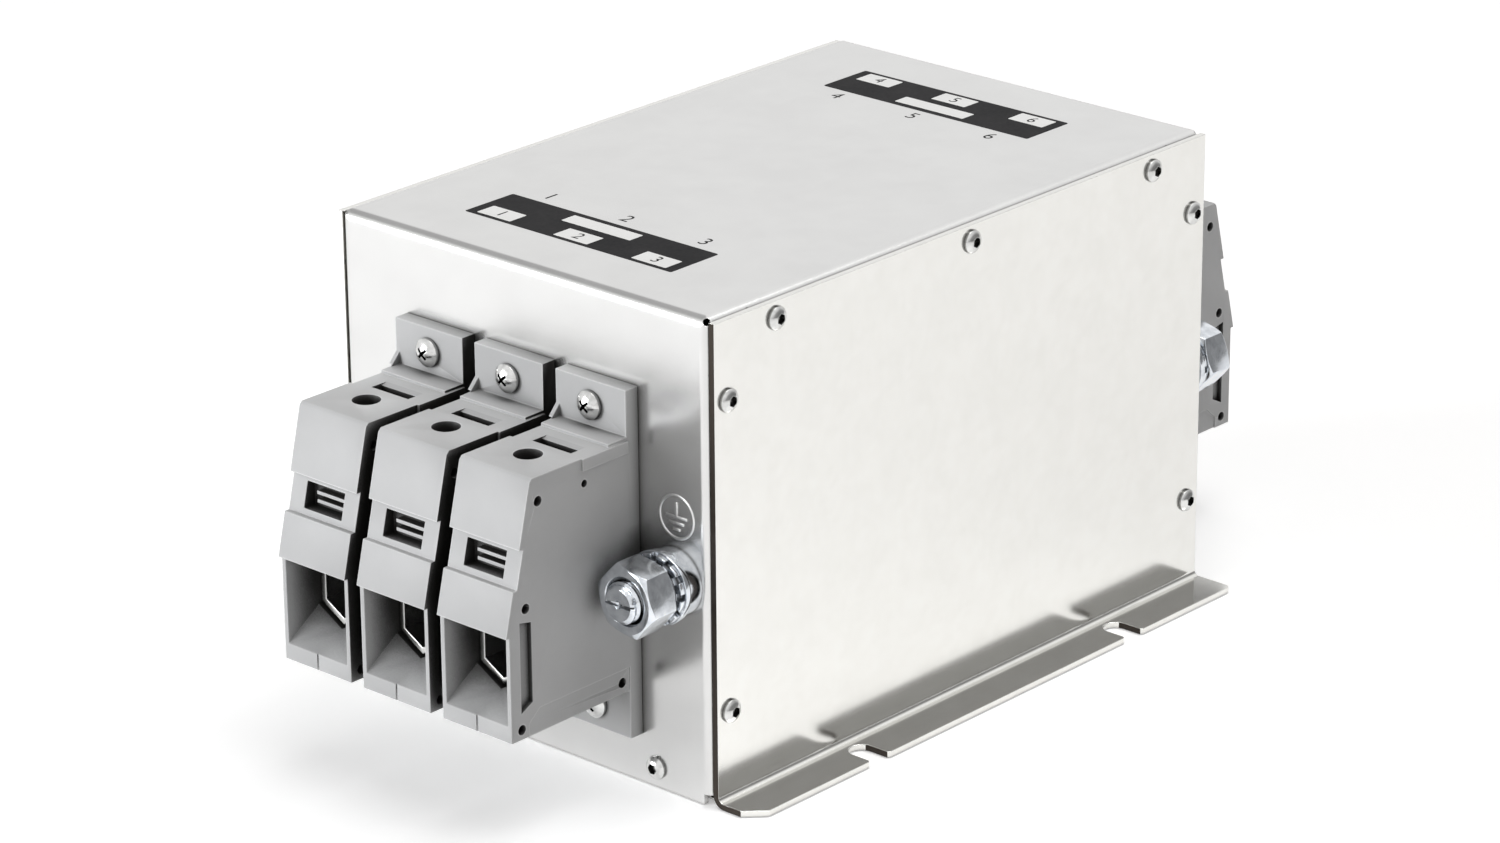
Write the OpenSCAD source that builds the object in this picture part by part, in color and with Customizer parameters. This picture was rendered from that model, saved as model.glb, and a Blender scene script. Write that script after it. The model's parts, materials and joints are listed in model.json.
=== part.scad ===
// Three-phase EMI line filter: folded steel housing with screw-clamp
// feed-through terminals and an earth stud at each end.
// Origin: centre of the housing's underside. +Y runs along the housing,
// the line side faces -Y, +Z is up.

/* [Housing] */
// Overall width over the two side panels
housing_w = 120; // [116:1:160]
// Overall length from the front face to the rear face
housing_l = 180; // [176:1:240]
// Overall height of the cover above the mounting surface
housing_h = 119.5; // [114:0.5:140]
// Thickness of the folded steel sheet
sheet_t = 1.5; // [1.2:0.1:1.8]
// Outside radius of the cover's bends
bend_r = 2.5; // [2.2:0.1:3.5]
// Width of the cover's inward lips that carry the side panels
lip_w = 12; // [10:0.5:14]
// Radius of the relief hole where three bends meet
relief_r = 0.9; // [0.8:0.1:1.5]
// How far a side panel's edges stay inside the cover's faces
seam = 0.5; // [0.3:0.1:0.9]
// Height of the upturned ends of the base plate
base_end_h = 12; // [10:0.5:14]

/* [Mounting flanges] */
// Reach of each flange beyond its side panel
flange_reach = 11.5; // [10:0.5:14]
// Inside radius of the bend between side panel and flange
flange_bend_r = 1.5; // [1.2:0.1:2.5]
// Size of the cut front corner
flange_chamfer = 4.6; // [3:0.1:7]
// Radius of the rear corner
flange_rear_r = 1.5; // [1:0.5:3]
// Width of the open mounting slots
slot_w = 6.5; // [5.5:0.1:7]
// Depth of the mounting slots from the flange's edge
slot_depth = 8.8; // [7:0.1:9.5]
// Distance between the two slots of one flange
slot_spacing = 96; // [60:1:120]
// Distance of the slots' middle behind the housing's middle
slot_shift = 2; // [-4:0.5:4]
// Rounding of the slot mouths
slot_mouth_r = 0.9; // [0.4:0.1:1.4]

/* [Terminals] */
// Distance between neighbouring terminals
terminal_pitch = 26; // [25:0.5:28]
// Width of one moulded terminal block
terminal_w = 22; // [21:0.5:23]
// Height of the block's underside above the mounting surface
terminal_z = 24.3; // [22:0.1:30]
// Height of the block without its ears
block_h = 62.2; // [60:0.1:64]
// Thickness of the mounting ears
ear_t = 4; // [3:0.5:5]
// Reach of the ears above and below the block
ear_reach = 12; // [11.5:0.5:14]
// Depth of the wire-entry frame in front of the housing
frame_d = 43; // [40:0.5:46]
// Overhang of the sloping nose over the wire entry
nose_over = 1.1; // [0.6:0.1:2]
// Depth of the block at its top front edge
top_d = 35.5; // [33:0.5:38]
// Height of the wire entry's upper edge above the block's underside
mouth_top = 26; // [24:0.5:28]
// Height of the rim under the wire entry
mouth_rim = 4; // [3:0.5:5]
// Side wall left beside the wire entry at the front
mouth_wall = 1.2; // [1:0.1:1.8]
// Depth of the funnel that leads a wire in
funnel_l = 8; // [6:0.5:9]
// Lower edge of the sunk marker band above the block's underside
band_z = 36.8; // [34:0.1:38]
// Height of the sunk marker band
band_h = 9.2; // [8:0.1:10]
// How far the marker band lies behind the sloping nose
band_sink = 1.3; // [0.8:0.1:1.8]
// Width of the marker window
window_w = 12.4; // [10:0.1:14]
// Height of the marker window
window_h = 6.4; // [5:0.1:7]
// Depth of the marker window
window_d = 3; // [2:0.1:4]
// Radius of the tool hole over the clamp screw
tool_r = 3.4; // [2.8:0.1:3.8]
// Distance from the housing to the tool hole
tool_d = 24.6; // [23.5:0.1:25.5]
// Height of the raised strip along the ear
rear_step_h = 0.7; // [0.3:0.1:1]
// Width of the raised strip along the ear
rear_step_w = 6; // [4:0.1:7]
// Depth of the test slot behind the tool hole
pocket_depth = 7; // [5:0.5:8]
// Height of the inset strip low on the block's sides
side_strip_h = 6.1; // [5:0.1:7]

/* [Clamps and bars] */
// Outside width of the bent clamping cage
cage_w = 14.4; // [13.5:0.1:14.6]
// Thickness of the cage's strip
cage_t = 1.5; // [1.2:0.1:1.8]
// Length of the cage along the wire
cage_l = 19; // [16:0.5:20]
// Height of the cage's lowest point above the block's underside
cage_z = 8.7; // [8:0.1:9.5]
// Height of the cage's top above the block's underside
cage_top = 44; // [42:0.5:46]
// Angle of the cage's V-shaped floor
cage_angle = 30; // [25:1:35]
// Clearance between the cage and its chamber
cage_gap = 0.3; // [0.2:0.1:0.5]
// Radius of the clamp screw
clamp_r = 4; // [3.5:0.5:4.5]
// Width of the current bar
bar_w = 10.6; // [9:0.1:11]
// Thickness of the current bar
bar_t = 3; // [2.5:0.5:4]
// Height of the current bar above the block's underside
bar_z = 30; // [29:0.5:32]
// Length of the current bar inside the housing
bar_inside = 14; // [12:0.5:16]

/* [Earth studs] */
// Distance of the studs from the right side panel's outer face
stud_edge = 12.1; // [11.8:0.1:14]
// Height of the studs
stud_z = 53.9; // [50:0.1:70]
// Width left between the stud's axis and the nearest terminal
stud_side = 10.9; // [10.4:0.1:13]
// Radius of the stud's thread
stud_r = 5; // [4:0.5:5]
// Radius of the stud's shoulder
shoulder_r = 8.3; // [7.5:0.1:8.5]
// Length of the shoulder
shoulder_l = 4.4; // [3:0.1:8]
// Thickness of the flat washer
washer_t = 1.5; // [1:0.1:2]
// Radius of the flat washer
washer_r = 9; // [8:0.1:9.5]
// Thickness of the toothed lock washer
lock_t = 2.7; // [2:0.1:3]
// Width across the flats of the nut
nut_af = 16; // [15:0.5:17]
// Height of the nut
nut_h = 8.4; // [7:0.1:9]
// Thread that stands out of the nut
stud_free = 2.2; // [1.5:0.1:4]
// Chamfer at the stud's tip
stud_chamfer = 1.1; // [0.6:0.1:1.4]

/* [Fasteners] */
// Radius of the side panel screws
side_screw_r = 1.5; // [1.25:0.25:1.75]
// Distance of the side screws from the housing's edges
side_screw_edge = 5; // [4.5:0.1:6]
// Drop of the upper edge screws below the cover's top
side_screw_drop = 20.1; // [14:0.1:30]
// Height of the lower screws along the front and rear edges
side_screw_low = 23.3; // [18:0.1:30]
// Distance of the outer top screws from the middle one
side_screw_span = 68.7; // [50:0.1:72]
// Height of the base plate's screws
base_screw_z = 5; // [4.9:0.1:6]
// Distance of the base plate's screws from the centre plane
base_screw_x = 41.2; // [38:0.1:46]
// Radius of the terminal screws
ear_screw_r = 2; // [1.5:0.25:2]
// Height of the side screws' heads
side_head_h = 1.9; // [1.4:0.1:2.4]
// Height of the terminal screws' heads
ear_head_h = 2.6; // [2:0.1:3]

/* [Chokes and board] */
// Distance of each choke from the middle of the housing
choke_y = 40; // [38:1:44]
// Outside radius of the ring core
core_r = 38; // [36:0.5:38]
// Radius of the ring core's hole
core_hole_r = 21; // [20:0.5:22]
// Width of the ring core
core_w = 24; // [20:1:26]
// Rounding of the ring core's edges
core_round = 3; // [2:0.5:4]
// Diameter of the winding wire
wire_d = 4; // [3:0.25:4.5]
// Turns of each winding
turns = 6; // [4:1:6]
// Angle between neighbouring turns
turn_step = 14; // [12.5:0.5:15]
// Distance of the circuit board behind the middle of the housing
board_y = 10; // [9:0.5:12]
// Thickness of the circuit board
board_t = 1.6; // [1:0.2:2]
// Space left beside and above the circuit board
board_gap = 6.5; // [5:0.5:9]
// Thickness of the insulating liner
liner_t = 1; // [0.5:0.1:1.5]

/* [Hidden] */
$fn = 48;

ENDS = ["front", "rear"];
PHASES = [1, 2, 3];

cut = 1;                                    // overrun of every cutting shape
half_w = housing_w / 2;
half_l = housing_l / 2;
lip_x = half_w - sheet_t;                   // outer face of the lips
flange_x = half_w + flange_reach;
bend_d = sheet_t + flange_bend_r;           // outer radius of the flange bend
side_top = housing_h - sheet_t * 0.6;       // upper edge of the side panels
slot_r = slot_w / 2;
relief_h = 2.6;                             // notch under the cover's lower corners
mitre_gap = 0.5;                            // gap between the top lip and an upright lip
stud_x = half_w - stud_edge;
side_screw_high = housing_h - side_screw_drop;
side_head_r = 2 * side_screw_r - 0.2;
side_screw_l = 7;
ear_head_r = 1.75 * ear_screw_r;
board_head_h = 1.8;
hole_gap = 0.1;                             // radial clearance of screw holes
thread_gap = 0.05;                          // radial clearance in tapped holes
fit = 0.2;                                  // clearance between fitted pieces

// Terminal block, measured up from its underside and out from the housing
nose_d = frame_d + nose_over;
top_round = 0.8;
rear_step_d = ear_t + rear_step_w;
chamber_half = cage_w / 2 + cage_gap;
chamber_floor = cage_z - 0.8;
chamber_back = tool_d - cage_l / 2 - 2 * cage_gap;
chamber_front = frame_d - funnel_l;
chamber_top = block_h - 10.5;
cage_front = tool_d + cage_l / 2 + 0.2;
ear_screw_out = ear_reach / 2;
spigot_w = bar_w + 5;
spigot_h = bar_t + 12;
spigot_l = 5.5;
gusset_t = 1.2;
gusset_l = 3.5;
gusset_h = 3.2;
key_d = 19;                                 // side key that aligns two blocks
key_h = 3;
key_out = 0.7;
pin_hole_r = 1.25;
pin_hole_d = 2;
recess_w = 3.7;                             // tall recess beside the funnel
recess_depth = 1.4;
strip_in = 0.4;
pocket_x = 1;
pocket_gap = 3.2;                           // land between the tool hole and the pocket
pocket_w = 12;
pocket_d = 4.6;
pocket_slot = 1.7;                          // width of the deep slot at the pocket's front
pocket_ramp = 2.6;                          // depth of the slope behind the slot

// Inside of the housing
floor_z = sheet_t + liner_t;
winding_gap = 0.7;                          // insulation between wire and core
loop_r = core_round + wire_d / 2 + winding_gap;
core_mid_r = (core_r + core_hole_r) / 2;
core_hx = (core_r - core_hole_r) / 2 - core_round;
core_hz = core_w / 2 - core_round;
wire_path_r = core_mid_r + core_hx + loop_r;
winding_out_r = wire_path_r + wire_d / 2;
saddle_gap = 0.3;
saddle_base = 3;
choke_z = floor_z + saddle_base + saddle_gap + winding_out_r;
strap_t = 1.2;
strap_w = 14;
strap_r = winding_out_r + saddle_gap;
strap_foot = 11;
strap_head_h = 2.4;
bar_mid_z = terminal_z + bar_z + bar_t / 2;
bar_end_y = half_l - bar_inside;
joint_gap = 0.2;                            // left between two wire ends
sleeve_l = 14;
sleeve_r = wire_d / 2 + 1.2;
board_z = floor_z + 1;
board_w = 2 * lip_x - 2 * board_gap;
board_h = housing_h - sheet_t - board_gap - board_z;

// Where each phase's winding starts and ends round the core, in degrees
half_span = turns * turn_step / 2;
phase_mid = [210, 90, -30];
PHASE_START = [phase_mid[0] - half_span, phase_mid[1] - half_span, phase_mid[2] + half_span];
PHASE_END = [phase_mid[0] + half_span, phase_mid[1] + half_span, phase_mid[2] - half_span];

// ---------- shared shapes ----------

// A rectangle with all four corners rounded
module rounded_rect(w, h, r) {
    square([w - 2 * r, h], center = true);
    square([w, h - 2 * r], center = true);
    for (x = [-1, 1], y = [-1, 1])
        translate([x * (w / 2 - r), y * (h / 2 - r)]) circle(r);
}

// A drawing in the YZ plane, pushed out along X
module along_x(w) {
    rotate([90, 0, 90]) linear_extrude(w, center = true) children();
}

// A drawing in the XZ plane, pushed from y0 towards -Y
module along_y(y0, l) {
    translate([0, y0, 0]) rotate([90, 0, 0]) linear_extrude(l) children();
}

// Puts a piece drawn for the front face on the front or the rear face
module at_end(e) {
    rotate([0, 0, e == "rear" ? 180 : 0]) translate([0, -half_l, 0]) children();
}

// Mirrors a piece drawn for the front half to the rear half
module mirror_end(e) {
    mirror([0, e == "rear" ? 1 : 0, 0]) children();
}

// The terminals stand in a row beside the stud
function phase_x(i) = stud_x - stud_side - terminal_w / 2 - (3 - i) * terminal_pitch;
function end_sign(e) = e == "rear" ? -1 : 1;

module at_terminal(e, i) {
    at_end(e) translate([end_sign(e) * phase_x(i), 0, terminal_z]) children();
}

// Box with bends along the top and the four upright edges, open at the bottom
module bent_box(w, l, h, r) {
    intersection() {
        linear_extrude(h + cut) rounded_rect(w, l, r);
        along_y(l / 2 + cut, l + 2 * cut) rounded_rect(w, 2 * h, r);
        along_x(w + 2 * cut) rounded_rect(l, 2 * h, r);
    }
}

// Screw along Z: domed head above z = 0, shank below, recess for the driver
module pan_screw(r, head_r, head_h, l, slots) {
    difference() {
        union() {
            intersection() {
                cylinder(r = head_r, h = head_h);
                translate([0, 0, head_h - 1.35 * head_r]) sphere(1.35 * head_r);
            }
            translate([0, 0, -l]) cylinder(r = r, h = l + head_h / 2);
        }
        if (slots == "cross")
            for (a = [45, 135])
                translate([0, 0, head_h]) rotate([0, 0, a])
                    cube([head_r * 0.95, head_r * 0.2, head_h * 1.2], center = true);
        else
            translate([0, 0, head_h * 0.4]) cylinder(r = head_r * 0.48, h = head_h, $fn = 6);
    }
}

// ---------- sheet metal ----------

// Openings that one terminal needs in the end face
module terminal_cutouts() {
    translate([-spigot_w / 2 - fit, -cut, spigot_z() - fit])
        cube([spigot_w + 2 * fit, sheet_t + 2 * cut, spigot_h + 2 * fit]);
    for (z = [-ear_screw_out, block_h + ear_screw_out])
        translate([0, -cut, z]) rotate([-90, 0, 0])
            cylinder(r = ear_screw_r + thread_gap, h = sheet_t + 2 * cut);
}

// Holes that the base plate's screws need in the end face
module base_screw_cutouts() {
    for (x = [-1, 1]) translate([x * base_screw_x, -cut, base_screw_z]) rotate([-90, 0, 0])
        cylinder(r = side_screw_r + hole_gap, h = sheet_t + 2 * cut);
}

module cover() {
    color("gainsboro") difference() {
        bent_box(2 * lip_x, housing_l, housing_h, bend_r);
        translate([0, 0, -cut])
            bent_box(2 * (lip_x - sheet_t), housing_l - 2 * sheet_t, housing_h - sheet_t + cut,
                     bend_r - sheet_t);
        // the open sides, which leave the lips standing
        translate([-half_w, -half_l + lip_w, -cut])
            cube([housing_w, housing_l - 2 * lip_w, housing_h - lip_w + cut]);
        for (x = [-1, 1], y = [-1, 1]) {
            // relief where the bends meet, and where the upright lips end
            translate([x * (lip_x - bend_r), y * (half_l - bend_r), housing_h - bend_r])
                rotate([0, acos(1 / sqrt(3)), x > 0 ? y * 45 : 180 - y * 45])
                    cylinder(r = relief_r, h = 2 * bend_r);
            translate([x * lip_x - bend_r, y * half_l - lip_w - cut, -cut])
                cube([2 * bend_r, 2 * (lip_w + cut), relief_h + cut]);
            // mitre between the top lip and the upright lip
            translate([x * lip_x, y * (half_l - lip_w / 2 - sheet_t), housing_h - lip_w / 2 - sheet_t])
                rotate([y * 45, 0, 0]) cube([4 * sheet_t, mitre_gap, 1.5 * lip_w], center = true);
        }
        for (e = ENDS, i = PHASES) at_terminal(e, i) terminal_cutouts();
        for (e = ENDS) at_end(e) base_screw_cutouts();
        translate([stud_x, 0, stud_z]) rotate([90, 0, 0])
            cylinder(r = stud_r - 0.5 + fit, h = housing_l + 2 * cut, center = true);
        side_screw_holes(side_screw_r + thread_gap);
    }
}

function side_screw_places() = concat(
    [for (y = [-1, 0, 1]) [y * side_screw_span, housing_h - side_screw_edge]],
    [for (y = [-1, 1], z = [side_screw_low, side_screw_high]) [y * (half_l - side_screw_edge), z]]
);

module side_screw_holes(r) {
    for (p = side_screw_places()) translate([0, p[0], p[1]]) rotate([0, 90, 0])
        cylinder(r = r, h = housing_w + 4 * cut, center = true);
}

// Section of a side panel: upright sheet, bend and flange
module side_section() {
    translate([lip_x, bend_d]) square([sheet_t, side_top - bend_d]);
    translate([lip_x + bend_d, 0]) square([flange_x - lip_x - bend_d, sheet_t]);
    intersection() {
        translate([lip_x + bend_d, bend_d]) difference() {
            circle(bend_d);
            circle(flange_bend_r);
        }
        translate([lip_x, 0]) square(bend_d);
    }
}

// Open slot in the flange, seen from above, with its mouth on the outer edge
module slot_outline() {
    inner_x = flange_x - slot_depth + slot_r;
    translate([inner_x, 0]) circle(slot_r);
    translate([inner_x, -slot_r]) square([slot_depth, slot_w]);
    for (y = [-1, 1]) difference() {
        translate([flange_x - slot_mouth_r, y * (slot_r + slot_mouth_r / 2) - slot_mouth_r / 2])
            square([2 * slot_mouth_r, slot_mouth_r]);
        translate([flange_x - slot_mouth_r, y * (slot_r + slot_mouth_r)]) circle(slot_mouth_r);
    }
}

module side_panel() {
    difference() {
        along_y(half_l - seam, housing_l - 2 * seam) side_section();
        for (y = [-1, 1]) translate([0, slot_shift + y * slot_spacing / 2, -cut])
            linear_extrude(sheet_t + 2 * cut) slot_outline();
        // cut front corner and rounded rear corner of the flange
        translate([flange_x, -half_l + seam, 0]) rotate([0, 0, 45])
            cube([2 * flange_chamfer, flange_chamfer * sqrt(2), 4 * cut + 2 * sheet_t], center = true);
        translate([flange_x - flange_rear_r, half_l - seam - flange_rear_r, -cut])
            linear_extrude(sheet_t + 2 * cut) difference() {
                square(2 * flange_rear_r);
                circle(flange_rear_r);
            }
        side_screw_holes(side_screw_r + hole_gap);
    }
}

module base_plate() {
    plate_half = lip_x - fit;
    end_half = lip_x - sheet_t - fit;
    inner_l = housing_l - 2 * sheet_t;
    color("silver") difference() {
        intersection() {
            along_x(2 * plate_half) translate([0, base_end_h]) difference() {
                rounded_rect(inner_l, 2 * base_end_h, bend_r);
                translate([0, sheet_t]) rounded_rect(inner_l - 2 * sheet_t, 2 * base_end_h, bend_r - sheet_t);
            }
            translate([-plate_half, -half_l, 0]) cube([2 * plate_half, housing_l, base_end_h]);
        }
        // the ends stand between the cover's lips
        for (x = [-1, 1], y = [-1, 1])
            translate([x * (end_half + plate_half) / 2, y * (half_l - lip_w / 2), base_end_h / 2 + sheet_t])
                cube([plate_half - end_half + cut / 2, lip_w + fit, base_end_h], center = true);
        for (e = ENDS) at_end(e) for (x = [-1, 1])
            translate([x * base_screw_x, 0, base_screw_z]) rotate([-90, 0, 0])
                cylinder(r = side_screw_r + thread_gap, h = 3 * sheet_t + cut);
        strap_holes(ear_screw_r + thread_gap);
        bracket_holes(side_screw_r + thread_gap);
    }
}

// ---------- terminal block ----------

function spigot_z() = bar_z + bar_t / 2 - spigot_h / 2;
// Depth of the sloping nose at a height above the block's underside
function nose_at(z) = nose_d - (z - mouth_top) * (nose_d - top_d) / (block_h - top_round - mouth_top);

// Side view of the block: wire-entry frame, nose, sunk band, top and rear step
module block_profile() {
    band_top = band_z + band_h;
    polygon([
        [0, 0], [-frame_d, 0], [-frame_d, mouth_top], [-nose_d, mouth_top],
        [-nose_at(band_z), band_z], [-nose_at(band_z) + band_sink, band_z],
        [-nose_at(band_top) + band_sink, band_top], [-nose_at(band_top), band_top],
        [-top_d, block_h - top_round], [-top_d + top_round, block_h],
        [-rear_step_d, block_h], [-rear_step_d, block_h + rear_step_h], [0, block_h + rear_step_h]
    ]);
}

// Five-sided opening with a V-shaped floor
module v_section(half, apex, top) {
    knee = apex + half * tan(cage_angle);
    polygon([[-half, knee], [0, apex], [half, knee], [half, top], [-half, top]]);
}

// Funnel from the rectangular mouth to the chamber's five-sided section
module funnel() {
    mouth_half = terminal_w / 2 - mouth_wall;
    hull() {
        along_y(-frame_d, cut / 2) translate([-mouth_half, mouth_rim])
            square([2 * mouth_half, mouth_top - mouth_rim]);
        along_y(-chamber_front, 0.01) v_section(chamber_half, chamber_floor, mouth_top);
    }
}

module marker_window() {
    mid_z = band_z + band_h / 2;
    floor_d = nose_at(mid_z) - band_sink - window_d;
    rib = 0.9;
    rib_land = 3;
    rib_top = 0.8;
    difference() {
        translate([-window_w / 2, -nose_d, mid_z - window_h / 2])
            cube([window_w, nose_d - floor_d, window_h]);
        // two ribs that a marker strip snaps behind
        for (z = [-1, 1])
            translate([rib_land - window_w / 2, rib_top - floor_d - window_d,
                       mid_z + z * window_h / 6 - rib / 2])
                cube([window_w, window_d + cut, rib]);
    }
}

// Recesses, pin holes and inset strip that both sides of the block share
module side_relief() {
    front = frame_d - 3.3;
    half = terminal_w / 2;
    translate([half - recess_depth, 0, 0]) rotate([90, 0, 90]) linear_extrude(recess_depth + cut)
        polygon([[-front, mouth_rim + 2.4], [-front + recess_w, mouth_rim + 4.3],
                 [-front + recess_w, mouth_top + 1.8], [-front, mouth_top + 2.6]]);
    translate([half - strip_in, 0, 0]) rotate([90, 0, 90]) linear_extrude(strip_in + cut)
        polygon([[-ear_t, -cut], [-front + 2.5, -cut], [-front + 2.5, side_strip_h - 3],
                 [-front + 6, side_strip_h], [-ear_t, side_strip_h]]);
    for (p = [[top_d - 2.5, block_h - 6], [front - 2, mouth_top + 5.6], [front, 2.5], [ear_t + 2.3, 2.8]])
        translate([half - pin_hole_d, -p[0], p[1]]) rotate([0, 90, 0])
            cylinder(r = pin_hole_r, h = pin_hole_d + cut);
    translate([half - pin_hole_d, 1 - key_d, block_h - 6.3]) rotate([0, 90, 0])
        cylinder(r = pin_hole_r * 0.75, h = pin_hole_d + cut);
}

module terminal() {
    half = terminal_w / 2;
    color("silver") difference() {
        union() {
            along_x(terminal_w) block_profile();
            translate([-half, -ear_t, -ear_reach])
                cube([terminal_w, ear_t, block_h + 2 * ear_reach]);
            // gusset at the ear's left edge, key along the right, spigot through the panel
            translate([-half + gusset_t / 2, 0, 0]) along_x(gusset_t)
                polygon([[-ear_t + 0.1, block_h], [-ear_t - gusset_l, block_h],
                         [-ear_t + 0.1, block_h + rear_step_h + gusset_h]]);
            translate([half - cut, -key_d, block_h - key_h]) cube([key_out + cut, key_d - ear_t, key_h]);
            translate([-spigot_w / 2, -cut, spigot_z()]) cube([spigot_w, spigot_l + cut, spigot_h]);
        }
        // groove that the neighbour's key stands in
        translate([-half - cut, -key_d - fit, block_h - key_h - fit])
            cube([key_out + fit + cut, key_d - ear_t + fit, key_h + fit + cut]);
        funnel();
        along_y(-chamber_back, chamber_front - chamber_back)
            v_section(chamber_half, chamber_floor, chamber_top);
        translate([0, -tool_d, chamber_top - cut]) cylinder(r = tool_r, h = block_h);
        // current bar's slot
        translate([-bar_w / 2 - fit, -chamber_back - cut, bar_z - fit])
            cube([bar_w + 2 * fit, chamber_back + spigot_l + 2 * cut, bar_t + 2 * fit]);
        // test pocket: a deep slot with a slope down to it
        translate([pocket_x, -tool_d + tool_r + pocket_gap, block_h]) along_x(pocket_w)
            polygon([[0, cut], [0, -pocket_depth], [pocket_slot, -pocket_depth], [pocket_slot, -pocket_ramp],
                     [pocket_d, 0], [pocket_d, cut]]);
        marker_window();
        for (m = [0, 1]) mirror([m, 0, 0]) side_relief();
        // parting notch in the rim
        translate([-0.3, -frame_d - cut, -cut]) cube([0.6, cut + 0.3, mouth_rim + 2 * cut]);
        for (z = [-ear_screw_out, block_h + ear_screw_out]) translate([0, cut, z]) rotate([90, 0, 0])
            cylinder(r = ear_screw_r + hole_gap, h = ear_t + 2 * cut);
    }
}

module clamp_cage() {
    side = cage_w / 2;
    rise = cage_t / cos(cage_angle);
    color("lightgray") difference() {
        along_y(-cage_front + cage_l, cage_l) v_section(side, cage_z, cage_top);
        along_y(-cage_front + cage_l + cut, cage_l + 2 * cut)
            v_section(side - cage_t, cage_z + rise, cage_top - 1.6 * cage_t);
        translate([0, -tool_d, cage_top - 3 * cage_t]) cylinder(r = clamp_r + thread_gap, h = 4 * cage_t);
    }
}

module clamp_screw() {
    bottom = bar_z + bar_t;
    top = chamber_top - 1;
    translate([0, -tool_d, 0]) difference() {
        translate([0, 0, bottom]) cylinder(r = clamp_r, h = top - bottom);
        translate([0, 0, top - 5]) cylinder(r = clamp_r * 0.72, h = 5 + cut, $fn = 6);
    }
}

module bus_bar() {
    front = cage_front - 2;
    color("peru") translate([-bar_w / 2, -front, bar_z]) cube([bar_w, front + bar_inside, bar_t]);
}

// ---------- earth studs ----------

module earth_stud() {
    tip = shoulder_l + washer_t + lock_t + nut_h + stud_free;
    neck_r = stud_r - 0.5;
    color("whitesmoke") rotate([90, 0, 0]) difference() {
        union() {
            cylinder(r = shoulder_r, h = shoulder_l);
            cylinder(r = stud_r, h = tip - stud_chamfer);
            translate([0, 0, tip - stud_chamfer])
                cylinder(r1 = stud_r, r2 = stud_r - stud_chamfer, h = stud_chamfer);
            translate([0, 0, -sheet_t - 0.8]) cylinder(r = neck_r, h = sheet_t + 1);
            translate([0, 0, -sheet_t - 0.8]) cylinder(r = neck_r + 0.45, h = 0.8);
        }
        // screwdriver slot and centre mark
        translate([0, 0, tip]) cube([2.4 * stud_r, 1, 1.6], center = true);
        translate([0, 0, tip - 1.4]) cylinder(r1 = 0.2, r2 = 1.1, h = 1.4 + cut / 10);
    }
}

module at_stud(e) {
    mirror_end(e) translate([stud_x, -half_l, stud_z]) children();
}

module earth_washer() {
    color("white") translate([0, -shoulder_l, 0]) rotate([90, 0, 0]) difference() {
        cylinder(r = washer_r, h = washer_t);
        translate([0, 0, -cut]) cylinder(r = stud_r + hole_gap, h = washer_t + 2 * cut);
    }
}

// Lock washer: a raised collar under the nut and a toothed rim on the flat washer
module lock_washer() {
    rim_r = washer_r - 0.4;
    rim_t = lock_t * 0.5;
    tooth = 1.7;
    teeth = 12;
    color("lightgray") translate([0, -shoulder_l - washer_t, 0]) rotate([90, 0, 0]) difference() {
        union() {
            cylinder(r = rim_r, h = rim_t);
            cylinder(r = stud_r + 1.6, h = lock_t);
        }
        translate([0, 0, -cut]) cylinder(r = stud_r + hole_gap, h = lock_t + 2 * cut);
        for (a = [0:360 / teeth:359]) rotate([0, 0, a]) translate([rim_r - tooth, -tooth / 2, -cut])
            cube([2 * tooth, tooth, lock_t + 2 * cut]);
    }
}

// Hexagon nut with both faces chamfered
module earth_nut() {
    corner_r = nut_af / 2 / cos(30);
    color("whitesmoke") translate([0, -shoulder_l - washer_t - lock_t, 0]) rotate([90, 0, 0]) difference() {
        intersection() {
            rotate([0, 0, -12]) cylinder(r = corner_r, h = nut_h, $fn = 6);
            cylinder(r1 = nut_af / 2 - 0.3, r2 = nut_af / 2 - 0.3 + nut_h * 1.8, h = nut_h);
            cylinder(r1 = nut_af / 2 - 0.3 + nut_h * 1.8, r2 = nut_af / 2 - 0.3, h = nut_h);
        }
        translate([0, 0, -cut]) cylinder(r = stud_r + hole_gap, h = nut_h + 2 * cut);
        translate([0, 0, nut_h - 0.9]) cylinder(r1 = stud_r + hole_gap, r2 = stud_r + 1.1, h = 0.95);
    }
}

// ---------- screws ----------

module side_screws() {
    color("lightgray") for (x = [-1, 1], p = side_screw_places())
        translate([x * half_w, p[0], p[1]]) rotate([0, x * 90, 0])
            pan_screw(side_screw_r, side_head_r, side_head_h, side_screw_l, "hex");
}

module base_screws() {
    color("lightgray") for (e = ENDS) at_end(e) for (x = [-1, 1])
        translate([x * base_screw_x, 0, base_screw_z]) rotate([90, 0, 0])
            pan_screw(side_screw_r, side_head_r, side_head_h, side_screw_l, "hex");
}

module terminal_screws() {
    color("lightgray") for (e = ENDS, i = PHASES, z = [-ear_screw_out, block_h + ear_screw_out])
        at_terminal(e, i) translate([0, -ear_t, z]) rotate([90, 0, 0])
            pan_screw(ear_screw_r, ear_head_r, ear_head_h, ear_t + 4, "cross");
}

module clamp_screws() {
    color("lightgray") for (e = ENDS, i = PHASES) at_terminal(e, i) clamp_screw();
}

// ---------- chokes ----------

module choke_core() {
    color("dimgray") translate([0, -choke_y, choke_z]) rotate([90, 0, 0])
        rotate_extrude() translate([core_mid_r, 0])
            rounded_rect(core_r - core_hole_r, core_w, core_round);
}

// Point k of the wire's loop round the core's section: twelve points a turn,
// three at each rounded corner
function loop_point(k) = let (
        c = floor((k % 12) / 3),
        a = 90 * c + 45 * (k % 3)
    ) [core_mid_r + (c == 1 || c == 2 ? -1 : 1) * core_hx + loop_r * cos(a),
       (c < 2 ? 1 : -1) * core_hz + loop_r * sin(a)];

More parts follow.
